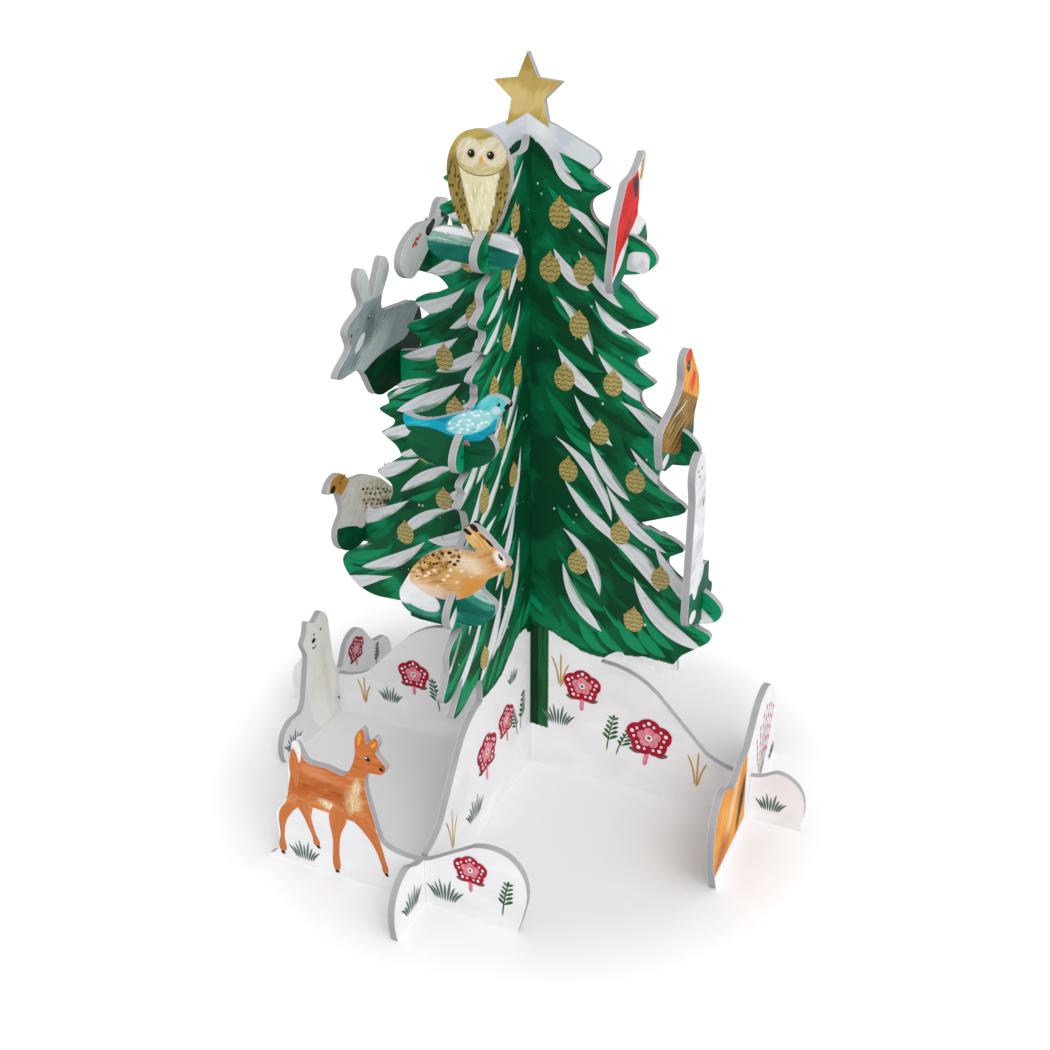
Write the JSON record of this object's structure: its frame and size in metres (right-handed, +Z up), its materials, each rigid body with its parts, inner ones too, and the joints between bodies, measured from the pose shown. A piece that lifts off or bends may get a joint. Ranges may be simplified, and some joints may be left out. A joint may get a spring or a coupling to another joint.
{
  "type": "slot-together card fir tree",
  "caption": "Standing fir tree of thick printed card: two crossed tree boards, with cut-out animal and bough pieces slotted on the branches and feet.",
  "frame": {"origin": "on the floor under the line where the two tree boards cross", "axes": "+X along the starred board to its right, -Y towards the front foot, +Z up"},
  "size_m": [0.25, 0.25, 0.3],
  "materials": {
    "tree_board_with_star": "printed fir green on grey board",
    "tree_board_crossing": "printed fir green on grey board",
    "deer_base_piece": "printed white with a brown deer",
    "back_base_piece": "printed white",
    "bear_base_piece": "printed white with a white bear",
    "fox_base_piece": "printed white with an orange fox",
    "owl_piece": "printed pale brown",
    "blue_bird_piece": "printed light blue",
    "brown_hare_piece": "printed light brown",
    "white_bird_piece": "printed white and grey",
    "grey_hare_piece": "printed blue grey",
    "partridge_piece": "printed cream",
    "red_bird_piece": "printed red",
    "gold_bird_piece": "printed gold brown",
    "stoat_piece": "printed white",
    "upper_snow_bough": "printed snow over green",
    "middle_snow_bough": "printed snow over green",
    "lower_snow_bough": "printed snow over green"
  },
  "bodies": {
    "root": {"tree_board_with_star": "tree_board_with_star", "tree_board_crossing": "tree_board_crossing", "deer_base_piece": "deer_base_piece", "back_base_piece": "back_base_piece", "bear_base_piece": "bear_base_piece", "fox_base_piece": "fox_base_piece", "owl_piece": "owl_piece", "blue_bird_piece": "blue_bird_piece", "brown_hare_piece": "brown_hare_piece", "white_bird_piece": "white_bird_piece", "grey_hare_piece": "grey_hare_piece", "partridge_piece": "partridge_piece", "red_bird_piece": "red_bird_piece", "gold_bird_piece": "gold_bird_piece", "stoat_piece": "stoat_piece", "upper_snow_bough": "upper_snow_bough", "middle_snow_bough": "middle_snow_bough", "lower_snow_bough": "lower_snow_bough"}
  },
  "joints": []
}
